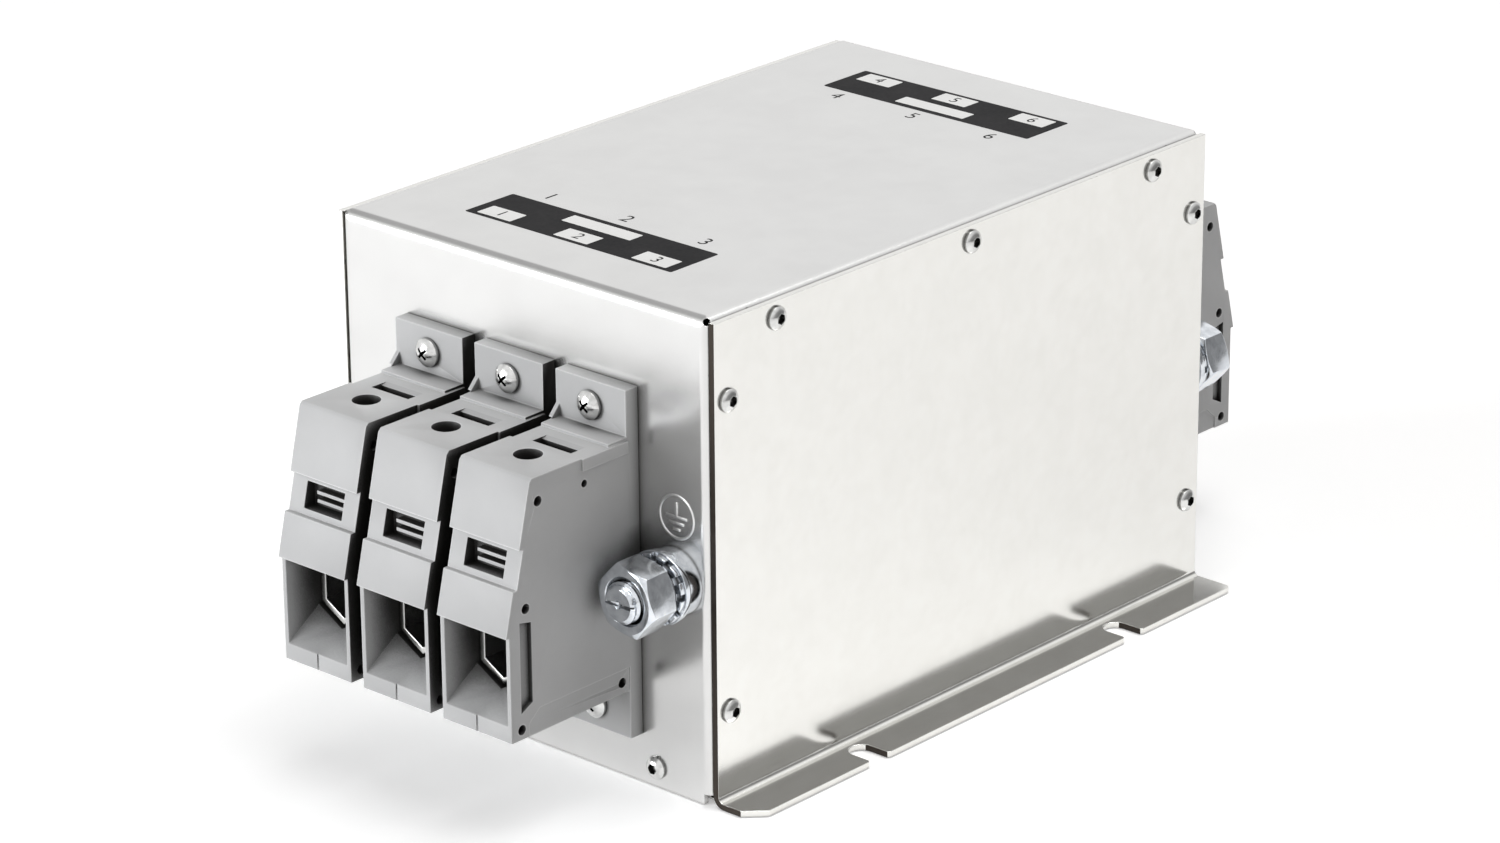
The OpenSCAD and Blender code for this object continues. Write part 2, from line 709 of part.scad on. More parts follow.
// The same point turned to its angle on the core, which faces along Y
function wound_point(k, from, to) = let (
        p = loop_point(k),
        phi = from + (to - from) * k / (12 * turns)
    ) [p[0] * cos(phi), -choke_y + p[1], choke_z + p[0] * sin(phi)];

// Smooth lead between two points, leaving and arriving along +Y
function lead(a, b, n) = let (pull = 1.2 * (b[1] - a[1])) [for (s = [0:n])
        let (t = s / n)
        (2 * pow(t, 3) - 3 * pow(t, 2) + 1) * a + (3 * pow(t, 2) - 2 * pow(t, 3)) * b
        + [0, pull * (pow(t, 3) - 2 * pow(t, 2) + t) + pull * (pow(t, 3) - pow(t, 2)), 0]];

function unit(v) = v / norm(v);
function heading(path, k) = unit(path[min(k + 1, len(path) - 1)] - path[max(k - 1, 0)]);
function across(n, t) = unit(n - (n * t) * t);
// Side vector at every point, carried along without twisting
function side_vectors(path) = [
    for (k = 0, n = across([0, 0, 1], heading(path, 0));
         k < len(path);
         k = k + 1, n = k < len(path) ? across(n, heading(path, k)) : n) n];

// Round wire swept along a path of points
module wire(path, d, sides = 6) {
    last = len(path) - 1;
    n = side_vectors(path);
    points = [for (k = [0:last]) let (t = heading(path, k), b = cross(t, n[k]))
        each [for (s = [0:sides - 1], a = [360 * s / sides])
                 path[k] + d / 2 * (cos(a) * n[k] + sin(a) * b)]];
    faces = concat(
        [[for (s = [0:sides - 1]) s]],
        [for (k = [0:last - 1], s = [0:sides - 1]) let (u = (s + 1) % sides)
            each [[k * sides + s, (k + 1) * sides + s, (k + 1) * sides + u],
                  [k * sides + s, (k + 1) * sides + u, k * sides + u]]],
        [[for (s = [sides - 1:-1:0]) last * sides + s]]
    );
    polyhedron(points, faces, convexity = 8);
}

module choke_winding(i) {
    from = PHASE_START[i - 1];
    to = PHASE_END[i - 1];
    first = wound_point(0, from, to);
    final = wound_point(12 * turns, from, to);
    bar_end = [phase_x(i), -bar_end_y + joint_gap, bar_mid_z];
    beside_core = [first[0], -choke_y - core_w / 2 - 1, first[2]];
    body = [for (k = [0:12 * turns]) wound_point(k, from, to)];
    color("chocolate") wire(concat(
        [bar_end], lead(bar_end + [0, 2, 0], beside_core, 10), body,
        [final + [0, 4, 0], [final[0], -joint_gap, final[2]]]), wire_d);
}

// Wire's place where it passes the middle of the housing
function crossing(i) = wound_point(12 * turns, PHASE_START[i - 1], PHASE_END[i - 1]);

module splice_sleeves() {
    color("silver") for (i = PHASES) translate([crossing(i)[0], 0, crossing(i)[2]]) rotate([90, 0, 0])
        difference() {
            cylinder(r = sleeve_r, h = sleeve_l, center = true);
            cylinder(r = wire_d / 2 + hole_gap, h = sleeve_l + 2 * cut, center = true);
        }
}

module choke_saddle() {
    width = 1.6 * core_r;
    height = 0.42 * core_r;
    color("tan") translate([0, -choke_y, floor_z]) difference() {
        translate([-width / 2, -core_w / 2, 0]) cube([width, core_w, height]);
        translate([0, 0, choke_z - floor_z]) rotate([90, 0, 0])
            cylinder(r = winding_out_r + saddle_gap, h = core_w + 2 * cut, center = true, $fn = 96);
    }
}

// Steel strap over the choke, with a foot on each side
module choke_strap() {
    leg_top = choke_z - floor_z;
    color("silver") along_y(-choke_y + strap_w / 2, strap_w) translate([0, floor_z]) {
        translate([0, leg_top]) intersection() {
            difference() {
                circle(strap_r + strap_t);
                circle(strap_r);
            }
            translate([-2 * strap_r, 0]) square([4 * strap_r, 2 * strap_r]);
        }
        for (m = [0, 1]) mirror([m, 0]) {
            translate([strap_r, 0]) square([strap_t, leg_top]);
            translate([strap_r - strap_foot, 0]) square([strap_foot + strap_t, strap_t]);
        }
    }
}

function strap_screw_x() = strap_r - strap_foot / 2;

module strap_holes(r) {
    for (x = [-1, 1], y = [-1, 1]) translate([x * strap_screw_x(), y * choke_y, -cut])
        cylinder(r = r, h = 2 * floor_z + 2 * cut);
}

module choke_strap_bored() {
    difference() {
        choke_strap();
        strap_holes(ear_screw_r + hole_gap);
    }
}

module strap_screws() {
    color("lightgray") for (x = [-1, 1], y = [-1, 1])
        translate([x * strap_screw_x(), y * choke_y, floor_z + strap_t])
            pan_screw(ear_screw_r, ear_head_r, strap_head_h, floor_z + strap_t - 0.2, "cross");
}

// ---------- liner and board ----------

module insulating_liner() {
    color("white") difference() {
        translate([-lip_x + 2 * sheet_t, -half_l + 2 * sheet_t + bend_r, sheet_t])
            cube([2 * lip_x - 4 * sheet_t, housing_l - 4 * sheet_t - 2 * bend_r, liner_t]);
        strap_holes(ear_screw_r + hole_gap);
        bracket_holes(side_screw_r + hole_gap);
    }
}

bracket_x = board_w / 2 - 12;
bracket_w = 12;
bracket_l = 14;
bracket_h = 13;
bracket_t = 1.2;
bracket_hole_y = bracket_l * 0.6;
bracket_hole_z = bracket_h * 0.65;

module at_brackets() {
    for (x = [-1, 1]) translate([x * bracket_x, board_y + board_t, floor_z]) children();
}

module bracket_holes(r) {
    at_brackets() translate([0, bracket_hole_y, -floor_z - cut]) cylinder(r = r, h = 2 * floor_z + 2 * cut);
}

// Two angle brackets that stand the board on the floor and earth it
module board_brackets() {
    color("silver") at_brackets() difference() {
        translate([-bracket_w / 2, 0, 0]) {
            cube([bracket_w, bracket_t, bracket_h]);
            cube([bracket_w, bracket_l, bracket_t]);
        }
        translate([0, bracket_hole_y, -cut]) cylinder(r = side_screw_r + hole_gap, h = 3 * cut);
        translate([0, -cut, bracket_hole_z]) rotate([-90, 0, 0])
            cylinder(r = side_screw_r + thread_gap, h = 3 * cut);
    }
}

module board_screws() {
    color("lightgray") at_brackets() {
        translate([0, bracket_hole_y, bracket_t])
            pan_screw(side_screw_r, side_head_r, board_head_h, floor_z + bracket_t - 0.2, "cross");
        translate([0, -board_t, bracket_hole_z]) rotate([90, 0, 0])
            pan_screw(side_screw_r, side_head_r, board_head_h, board_t + bracket_t + 1, "cross");
    }
}

x_cap = [26, 15, 18];                       // width, reach from the board, height
y_cap = [15, 9, 12];
pin_r = 0.5;
pin_hole = 0.15;                            // clearance round a soldered pin
pin_tail = 1.2;                             // pin that stands out behind the board
part_gap = 2;                               // clearance between a sleeve and the parts over it
column_pitch = (board_w - 8) / 3;           // three columns of parts across the board
x_cap_low = choke_z + 5;                    // rows of parts above the floor
x_cap_high = crossing(2)[2] + sleeve_r + part_gap + x_cap[2] / 2;
y_cap_rise = 29;                            // height of the Y capacitors over the board's lower edge
y_cap_row = board_z + y_cap_rise;
resistor_row = (x_cap_low + x_cap_high) / 2;
resistor_r = 2;
resistor_l = 6.5;
resistor_lift = resistor_r + 0.2;           // height of its axis off the board
resistor_pin = resistor_l / 2 + 1.25;       // distance of its pins from its middle

function x_cap_place(n) = [((n - 1) % 3 - 1) * column_pitch, n > 3 ? x_cap_high : x_cap_low];
function y_cap_place(n) = [(n - 2) * column_pitch, y_cap_row];
function resistor_place(n) = [(n + 0.6) * column_pitch / 2, resistor_row];

// Pairs of round holes for a part's pins
module pin_holes(place, spread) {
    for (x = [-1, 1]) translate([place[0] + x * spread, board_y - cut, place[1]]) rotate([-90, 0, 0])
        cylinder(r = pin_r + pin_hole, h = board_t + 2 * cut, $fn = 16);
}

module circuit_board() {
    color("darkgreen") difference() {
        translate([-board_w / 2, board_y, board_z]) cube([board_w, board_t, board_h]);
        for (n = [1:6]) pin_holes(x_cap_place(n), x_cap[0] / 2 - 2.5);
        for (n = [1:3]) pin_holes(y_cap_place(n), y_cap[0] / 2 - 2.5);
        for (n = [0:2]) pin_holes(resistor_place(n), resistor_pin);
        for (i = PHASES) translate([crossing(i)[0], board_y - cut, crossing(i)[2]]) rotate([-90, 0, 0])
            cylinder(r = wire_d / 2 + fit, h = board_t + 2 * cut);
        at_brackets() translate([0, cut, bracket_hole_z]) rotate([90, 0, 0])
            cylinder(r = side_screw_r + hole_gap, h = board_t + 2 * cut);
    }
}

// Box capacitor on the board's front, with two pins through it
module capacitor(place, size, spread) {
    translate([place[0], board_y, place[1]]) {
        rotate([90, 0, 0]) linear_extrude(size[1]) rounded_rect(size[0], size[2], 1.2);
        for (x = [-1, 1]) translate([x * spread, -0.5, 0]) rotate([-90, 0, 0])
            cylinder(r = pin_r, h = board_t + 0.5 + pin_tail, $fn = 16);
    }
}

module x_capacitor(n) {
    color("goldenrod") capacitor(x_cap_place(n), x_cap, x_cap[0] / 2 - 2.5);
}

module y_capacitor(n) {
    color("royalblue") capacitor(y_cap_place(n), y_cap, y_cap[0] / 2 - 2.5);
}

// Resistors on the board's rear, pins bent through it
module bleed_resistors() {
    color("burlywood") for (n = [0:2], place = [resistor_place(n)])
        translate([place[0], board_y + board_t, place[1]]) {
            translate([0, resistor_lift, 0]) rotate([0, 90, 0]) {
                cylinder(r = resistor_r, h = resistor_l, center = true);
                cylinder(r = pin_r, h = 2 * resistor_pin, center = true, $fn = 16);
            }
            for (x = [-1, 1]) translate([x * resistor_pin, resistor_lift, 0]) rotate([90, 0, 0])
                cylinder(r = pin_r, h = resistor_lift + board_t + pin_tail, $fn = 16);
        }
}

// ---------- the parts ----------

cover();
color("gainsboro") side_panel();  // side_panel_right
color("gainsboro") mirror([1, 0, 0]) side_panel();  // side_panel_left
base_plate();
side_screws();
base_screws();
terminal_screws();
clamp_screws();
for (e = ENDS) at_stud(e) earth_washer();  // earth_washers
for (e = ENDS) at_stud(e) lock_washer();  // earth_lock_washers
for (e = ENDS) at_stud(e) earth_nut();  // earth_nuts
insulating_liner();
circuit_board();
board_brackets();
board_screws();
strap_screws();
splice_sleeves();
bleed_resistors();
for (e = ENDS) {
    at_stud(e) earth_stud();
    mirror_end(e) choke_core();
    mirror_end(e) choke_saddle();
    mirror_end(e) choke_strap_bored();
}
for (e = ENDS, i = PHASES) {
    at_terminal(e, i) terminal();
    at_terminal(e, i) clamp_cage();
    at_terminal(e, i) bus_bar();
    mirror_end(e) choke_winding(i);
}
for (n = [1:6]) x_capacitor(n);
for (n = [1:3]) y_capacitor(n);
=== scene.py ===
import json
import math
import bpy
from mathutils import Matrix, Vector

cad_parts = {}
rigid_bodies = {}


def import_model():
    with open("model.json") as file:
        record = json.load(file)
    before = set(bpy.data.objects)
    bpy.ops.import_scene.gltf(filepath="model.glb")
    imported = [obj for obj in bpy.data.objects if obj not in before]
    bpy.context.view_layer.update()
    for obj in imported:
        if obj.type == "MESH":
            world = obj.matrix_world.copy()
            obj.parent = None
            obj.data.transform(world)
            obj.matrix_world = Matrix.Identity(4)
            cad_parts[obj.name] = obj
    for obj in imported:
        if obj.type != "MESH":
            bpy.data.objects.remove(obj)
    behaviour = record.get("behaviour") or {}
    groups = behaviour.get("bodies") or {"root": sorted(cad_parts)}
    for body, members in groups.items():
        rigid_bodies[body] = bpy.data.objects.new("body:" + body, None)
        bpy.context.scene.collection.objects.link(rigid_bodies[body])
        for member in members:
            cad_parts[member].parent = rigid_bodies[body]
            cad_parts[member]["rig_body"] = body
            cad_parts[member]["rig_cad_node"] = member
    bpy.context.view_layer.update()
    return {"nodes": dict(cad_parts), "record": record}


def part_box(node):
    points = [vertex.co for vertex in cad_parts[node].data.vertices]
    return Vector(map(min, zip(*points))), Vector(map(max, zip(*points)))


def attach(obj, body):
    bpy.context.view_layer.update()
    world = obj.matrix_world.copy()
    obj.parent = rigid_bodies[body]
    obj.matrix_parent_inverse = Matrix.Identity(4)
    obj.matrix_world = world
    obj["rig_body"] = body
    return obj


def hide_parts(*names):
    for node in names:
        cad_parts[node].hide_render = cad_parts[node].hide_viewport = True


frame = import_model()
print("frame loaded,", len(frame["nodes"]), "nodes")

mm = 0.001
mergeDistance = 0.002 * mm
flatAngle = math.radians(0.6)
smoothAngle = math.radians(30)
ends = ("front", "rear")
phases = (1, 2, 3)
coverLow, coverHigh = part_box("cover")


def deselectAll():
    if bpy.context.object and bpy.context.object.mode != "OBJECT":
        bpy.ops.object.mode_set(mode="OBJECT")
    bpy.ops.object.select_all(action="DESELECT")


def activate(piece):
    deselectAll()
    piece.select_set(True)
    bpy.context.view_layer.objects.active = piece


def finishPiece(piece, name, material):
    activate(piece)
    for modifier in list(piece.modifiers):
        bpy.ops.object.modifier_apply(modifier=modifier.name)
    bpy.ops.object.transform_apply(location=True, rotation=True, scale=True)
    bpy.ops.object.shade_smooth_by_angle(angle=smoothAngle)
    piece.name = name
    piece.data.name = name
    piece.data.materials.clear()
    piece.data.materials.append(material)
    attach(piece, "root")
    return piece


def movedCopy(piece, name, matrix):  # each copy has its own mesh
    activate(piece)
    bpy.ops.object.duplicate(linked=False)
    twin = bpy.context.object
    twin.name = name
    twin.data.name = name
    twin.data.transform(matrix)
    if matrix.determinant() < 0:
        twin.data.flip_normals()
    return twin


def joinPieces(parts):
    activate(parts[0])
    for part in parts:
        part.select_set(True)
    bpy.ops.object.join()
    return bpy.context.object


# node groups that several materials share
def newGroup(name, inputs, outputs):
    group = bpy.data.node_groups.new(name, "ShaderNodeTree")
    for label, kind, value in inputs:
        socket = group.interface.new_socket(name=label, in_out="INPUT", socket_type=kind)
        socket.default_value = value
    for label, kind in outputs:
        group.interface.new_socket(name=label, in_out="OUTPUT", socket_type=kind)
    return group, group.nodes.new("NodeGroupInput"), group.nodes.new("NodeGroupOutput")


def mathNode(tree, operation, a, b=None, clamp=False):
    node = tree.nodes.new("ShaderNodeMath")
    node.operation = operation
    node.use_clamp = clamp
    for socket, value in zip(node.inputs, (a, b)):
        if value is None:
            continue
        if isinstance(value, (int, float)):
            socket.default_value = value
        else:
            tree.links.new(value, socket)
    return node.outputs[0]


def noiseNode(tree, vector, scale, detail=3, rough=0.5):
    node = tree.nodes.new("ShaderNodeTexNoise")
    node.inputs["Detail"].default_value = detail
    node.inputs["Roughness"].default_value = rough
    tree.links.new(vector, node.inputs["Vector"])
    if isinstance(scale, (int, float)):
        node.inputs["Scale"].default_value = scale
    else:
        tree.links.new(scale, node.inputs["Scale"])
    return node.outputs["Fac"]


def makeRolledGrain():  # rolling streaks and soft mottling of sheet metal
    group, inside, outside = newGroup("rolledGrain", [
        ("Stretch", "NodeSocketVector", (1, 1, 1)), ("Streak Scale", "NodeSocketFloat", 900.0),
        ("Mottle Scale", "NodeSocketFloat", 60.0)],
        [("Streak", "NodeSocketFloat"), ("Mottle", "NodeSocketFloat")])
    place = group.nodes.new("ShaderNodeTexCoord").outputs["Object"]
    pull = group.nodes.new("ShaderNodeVectorMath")
    pull.operation = "MULTIPLY"
    group.links.new(place, pull.inputs[0])
    group.links.new(inside.outputs["Stretch"], pull.inputs[1])
    streak = noiseNode(group, pull.outputs[0], inside.outputs["Streak Scale"], 4, 0.6)
    group.links.new(streak, outside.inputs["Streak"])
    mottle = noiseNode(group, place, inside.outputs["Mottle Scale"], 5, 0.65)
    group.links.new(mottle, outside.inputs["Mottle"])
    return group


edgeGain = 6.0  # how fast the edge mask rises as the surface bends


def makeSoftEdge():  # mask of rounded edges, along which highlights are painted, and the rounded normal
    group, inside, outside = newGroup("softEdge", [("Radius", "NodeSocketFloat", 0.4 * mm)],
                                      [("Edge", "NodeSocketFloat"), ("Normal", "NodeSocketVector")])
    bevel = group.nodes.new("ShaderNodeBevel")
    bevel.samples = 4
    group.links.new(inside.outputs["Radius"], bevel.inputs["Radius"])
    flat = group.nodes.new("ShaderNodeNewGeometry")
    dot = group.nodes.new("ShaderNodeVectorMath")
    dot.operation = "DOT_PRODUCT"
    group.links.new(bevel.outputs["Normal"], dot.inputs[0])
    group.links.new(flat.outputs["Normal"], dot.inputs[1])
    bend = mathNode(group, "SUBTRACT", 1.0, dot.outputs["Value"], clamp=True)
    group.links.new(mathNode(group, "MULTIPLY", bend, edgeGain, clamp=True), outside.inputs["Edge"])
    group.links.new(bevel.outputs["Normal"], outside.inputs["Normal"])
    return group


def makeCavityShade():  # painted shade: mask that falls from 1 in the open to 0 in recesses and narrow gaps, where the base colour is darkened
    group, inside, outside = newGroup("cavityShade", [
        ("Reach", "NodeSocketFloat", 5 * mm), ("Closed", "NodeSocketFloat", 0.1),
        ("Open", "NodeSocketFloat", 0.9)],
        [("Shade", "NodeSocketFloat")])
    paintedShade = group.nodes.new("ShaderNodeAmbientOcclusion")
    paintedShade.samples = 8
    group.links.new(inside.outputs["Reach"], paintedShade.inputs["Distance"])
    fall = group.nodes.new("ShaderNodeMapRange")
    fall.interpolation_type = "SMOOTHSTEP"
    group.links.new(paintedShade.outputs["AO"], fall.inputs["Value"])
    group.links.new(inside.outputs["Closed"], fall.inputs["From Min"])
    group.links.new(inside.outputs["Open"], fall.inputs["From Max"])
    group.links.new(fall.outputs["Result"], outside.inputs["Shade"])
    return group


rolledGrain = makeRolledGrain()
softEdge = makeSoftEdge()
cavityShade = makeCavityShade()


def startMaterial(name):
    material = bpy.data.materials.new(name)
    material.use_nodes = True
    tree = material.node_tree
    return material, tree, tree.nodes["Principled BSDF"]


def placeGroup(tree, group, **values):
    node = tree.nodes.new("ShaderNodeGroup")
    node.node_tree = group
    for label, value in values.items():
        node.inputs[label.replace("_", " ")].default_value = value
    return node


def blendColours(tree, mask, look, span):  # from dark to light as the mask crosses the span
    ramp = tree.nodes.new("ShaderNodeValToRGB")
    for element, colour, position in zip(ramp.color_ramp.elements, (look["dark"], look["light"]), span):
        element.color = (*colour, 1)
        element.position = position
    tree.links.new(mask, ramp.inputs["Fac"])
    return ramp.outputs["Color"]


def mixColours(tree, mask, a, b):
    node = tree.nodes.new("ShaderNodeMix")
    node.data_type = "RGBA"
    tree.links.new(mask, node.inputs["Factor"])
    for socket, value in ((node.inputs[6], a), (node.inputs[7], b)):
        if isinstance(value, tuple):
            socket.default_value = (*value, 1)
        else:
            tree.links.new(value, socket)
    return node.outputs[2]


# painted shade in hollows and gaps, from the occlusion mask
def paintedShadeMask(tree, look):
    paintedShade = placeGroup(tree, cavityShade, Reach=look["cavityReach"], Closed=look["closed"],
                        Open=look["open"])
    return paintedShade.outputs["Shade"]


def addBump(tree, shader, height, strength, depth, normal=None):
    bump = tree.nodes.new("ShaderNodeBump")
    bump.inputs["Strength"].default_value = strength
    bump.inputs["Distance"].default_value = depth
    tree.links.new(height, bump.inputs["Height"])
    if normal is not None:
        tree.links.new(normal, bump.inputs["Normal"])
    tree.links.new(bump.outputs["Normal"], shader.inputs["Normal"])


# what all sheets, all plated pieces and all moulded pieces share
sheetFinish = {"span": (0.36, 0.64), "bumpDepth": 0.04 * mm, "cutFacing": 0.9}
platedFinish = {"span": (0.35, 0.65), "detail": 4, "roughScale": 2.5, "roughSpread": 0.12,
                "bumpScale": 4, "bump": 0.12, "bumpDepth": 0.05 * mm}
mouldedFinish = {"span": (0.3, 0.7), "roughSpread": 0.16, "bumpDepth": 0.06 * mm}


def makeSheetSteel(name, look):
    material, tree, shader = startMaterial(name)
    grain = placeGroup(tree, rolledGrain, Stretch=look["stretch"], Streak_Scale=look["streakScale"],
                       Mottle_Scale=look["mottleScale"])
    colour = blendColours(tree, grain.outputs["Mottle"], look, sheetFinish["span"])
    edge = placeGroup(tree, softEdge, Radius=look["edgeRadius"])
    # painted highlight along the sheet's rounded edges
    colour = mixColours(tree, edge.outputs["Edge"], colour, look["paintedEdgeHighlight"])
    spread = mathNode(tree, "MULTIPLY", grain.outputs["Streak"], look["roughSpread"])
    rough = mathNode(tree, "ADD", spread, look["roughness"] - look["roughSpread"] / 2)
    if "cutFaceShade" in look:  # cut faces at the front and rear: rough, and painted near black as the shade in the seam
        faces = tree.nodes.new("ShaderNodeSeparateXYZ")
        tree.links.new(tree.nodes.new("ShaderNodeNewGeometry").outputs["True Normal"], faces.inputs[0])
        facing = mathNode(tree, "ABSOLUTE", faces.outputs["Y"])
        cutFace = mathNode(tree, "GREATER_THAN", facing, sheetFinish["cutFacing"])
        colour = mixColours(tree, cutFace, colour, look["cutFaceShade"])
        rough = mathNode(tree, "ADD", rough, mathNode(tree, "MULTIPLY", cutFace, look["shearedRough"]))
    # painted shade: the colour darkens towards the shade colour in seams and hollows
    colour = mixColours(tree, paintedShadeMask(tree, look), look["paintedShade"], colour)
    tree.links.new(colour, shader.inputs["Base Color"])
    shader.inputs["Metallic"].default_value = 1.0
    tree.links.new(rough, shader.inputs["Roughness"])
    addBump(tree, shader, grain.outputs["Streak"], look["bump"], sheetFinish["bumpDepth"],
            edge.outputs["Normal"])
    return material


def makePlatedSteel(name, look):
    material, tree, shader = startMaterial(name)
    place = tree.nodes.new("ShaderNodeTexCoord").outputs["Object"]
    finish = platedFinish
    clouds = noiseNode(tree, place, look["scale"], finish["detail"])
    colour = blendColours(tree, clouds, look, finish["span"])
    # painted shade: the colour darkens towards the shade colour in hollows
    colour = mixColours(tree, paintedShadeMask(tree, look), look["paintedShade"], colour)
    tree.links.new(colour, shader.inputs["Base Color"])
    shader.inputs["Metallic"].default_value = 1.0
    wear = noiseNode(tree, place, look["scale"] * finish["roughScale"])
    spread = mathNode(tree, "MULTIPLY", wear, finish["roughSpread"])
    tree.links.new(mathNode(tree, "ADD", spread, look["roughness"]), shader.inputs["Roughness"])
    edge = placeGroup(tree, softEdge, Radius=look["edgeRadius"])
    ripples = noiseNode(tree, place, look["scale"] * finish["bumpScale"])
    addBump(tree, shader, ripples, finish["bump"], finish["bumpDepth"], edge.outputs["Normal"])
    return material


def makeMouldedPlastic(name, look):
    material, tree, shader = startMaterial(name)
    place = tree.nodes.new("ShaderNodeTexCoord").outputs["Object"]
    clouds = noiseNode(tree, place, look["scale"], 5, 0.6)
    colour = blendColours(tree, clouds, look, mouldedFinish["span"])
    # painted shade in recesses and gaps, which also keeps the painted edge highlight out of corners
    shade = paintedShadeMask(tree, look)
    if "paintedEdgeHighlight" in look:  # painted highlight along moulded edges, kept out of the painted-shade corners
        edge = placeGroup(tree, softEdge, Radius=look["edgeRadius"])
        rim = mathNode(tree, "MULTIPLY", edge.outputs["Edge"], shade)
        rim = mathNode(tree, "MULTIPLY", rim, look["edgeShare"])
        colour = mixColours(tree, rim, colour, look["paintedEdgeHighlight"])
    tree.links.new(mixColours(tree, shade, look["paintedShade"], colour), shader.inputs["Base Color"])
    shader.inputs["Specular IOR Level"].default_value = look["specular"]
    texture = noiseNode(tree, place, look["textureScale"], 2)
    spread = mathNode(tree, "MULTIPLY", texture, mouldedFinish["roughSpread"])
    tree.links.new(mathNode(tree, "ADD", spread, look["roughness"]), shader.inputs["Roughness"])
    addBump(tree, shader, texture, look["bump"], mouldedFinish["bumpDepth"])
    return material


# painted shade for hollows, seams and gaps: its colour, the reach of the occlusion, and the occlusion span
# over which it fades in
metalCavity = {"paintedShade": (0.05, 0.045, 0.04), "cavityReach": 1.8 * mm, "closed": 0.05, "open": 0.85}
sheetCavity = {**metalCavity, "closed": 0.3, "open": 0.8}
screwCavity = {"paintedShade": (0.012, 0.011, 0.01), "cavityReach": 2.6 * mm, "closed": 0.3, "open": 0.95}
cageCavity = {"paintedShade": (0.10, 0.10, 0.09), "cavityReach": 6 * mm, "closed": 0.05, "open": 0.85}
copperCavity = {**cageCavity, "paintedShade": (0.03, 0.03, 0.028)}
plasticCavity = {"paintedShade": (0.02, 0.019, 0.017), "cavityReach": 7.5 * mm, "closed": 0.12, "open": 0.85,
                 "specular": 0.4}
# deeper painted shade, for the walls of recesses and the sides in the gaps between blocks
deepCavity = {"paintedShade": (0.012, 0.011, 0.01), "cavityReach": 18 * mm, "closed": 0.42, "open": 1.0,
              "specular": 0.25}
printCavity = {"paintedShade": (0.01, 0.01, 0.01), "cavityReach": 1 * mm, "closed": 0.0, "open": 1.0,
               "specular": 0.03}
coverLook = {
    "stretch": (1.0, 0.06, 1.0), "streakScale": 900.0, "mottleScale": 55.0,
    "dark": (0.705, 0.702, 0.695), "light": (0.735, 0.733, 0.725), "paintedEdgeHighlight": (0.90, 0.90, 0.89),
    "edgeRadius": 0.3 * mm, "roughness": 0.25, "roughSpread": 0.07, "bump": 0.10, **sheetCavity,
    "paintedShade": (0.26, 0.25, 0.24),
}
# the cover's steel painted lighter, as a painted highlight on the embossed symbol's lines
symbolHighlightLook = {**coverLook, "dark": (0.80, 0.798, 0.79), "light": (0.84, 0.838, 0.83), "roughness": 0.38}
baseLook = {**coverLook, "dark": (0.76, 0.755, 0.735), "light": (0.87, 0.865, 0.845), "streakScale": 240.0,
            "roughness": 0.14, "roughSpread": 0.12, "bump": 0.35}
sideLook = {
    "stretch": (1.0, 0.06, 1.0), "streakScale": 800.0, "mottleScale": 160.0,
    "dark": (0.79, 0.782, 0.752), "light": (0.82, 0.813, 0.785), "paintedEdgeHighlight": (0.95, 0.95, 0.93),
    "edgeRadius": 0.3 * mm, "roughness": 0.17, "roughSpread": 0.06, "bump": 0.12,
    "cutFaceShade": (0.05, 0.042, 0.036), "shearedRough": 0.3, **sheetCavity,
}
zincLook = {"dark": (0.63, 0.66, 0.70), "light": (0.82, 0.85, 0.89), "scale": 420.0, "roughness": 0.08,
            "edgeRadius": 0.2 * mm, **metalCavity}
screwLook = {"dark": (0.60, 0.60, 0.59), "light": (0.78, 0.78, 0.77), "scale": 500.0, "roughness": 0.12,
             "edgeRadius": 0.15 * mm, **screwCavity}
cageLook = {"dark": (0.50, 0.50, 0.49), "light": (0.64, 0.64, 0.63), "scale": 300.0, "roughness": 0.16,
            "edgeRadius": 0.2 * mm, **cageCavity}
copperLook = {"dark": (0.42, 0.41, 0.40), "light": (0.52, 0.51, 0.50), "scale": 900.0, "roughness": 0.3,
              "edgeRadius": 0.2 * mm, **copperCavity}
wireLook = {"dark": (0.40, 0.15, 0.06), "light": (0.55, 0.24, 0.10), "scale": 200.0, "roughness": 0.25,
            "edgeRadius": 0.1 * mm, **metalCavity}
plasticLook = {"dark": (0.465, 0.467, 0.470), "light": (0.505, 0.506, 0.508), "scale": 45.0,
               "textureScale": 1500.0, "roughness": 0.42, "bump": 0.12, "edgeRadius": 0.5 * mm,
               "paintedEdgeHighlight": (0.88, 0.88, 0.88), "edgeShare": 0.9, **plasticCavity}
inkLook = {"dark": (0.016, 0.016, 0.017), "light": (0.026, 0.025, 0.026), "scale": 90.0,
           "textureScale": 1200.0, "roughness": 0.40, "bump": 0.08, **printCavity}
paleInkLook = {"dark": (0.92, 0.92, 0.91), "light": (0.97, 0.97, 0.96), "scale": 90.0, "textureScale": 1200.0,
               "roughness": 0.4, "bump": 0.05, **printCavity}

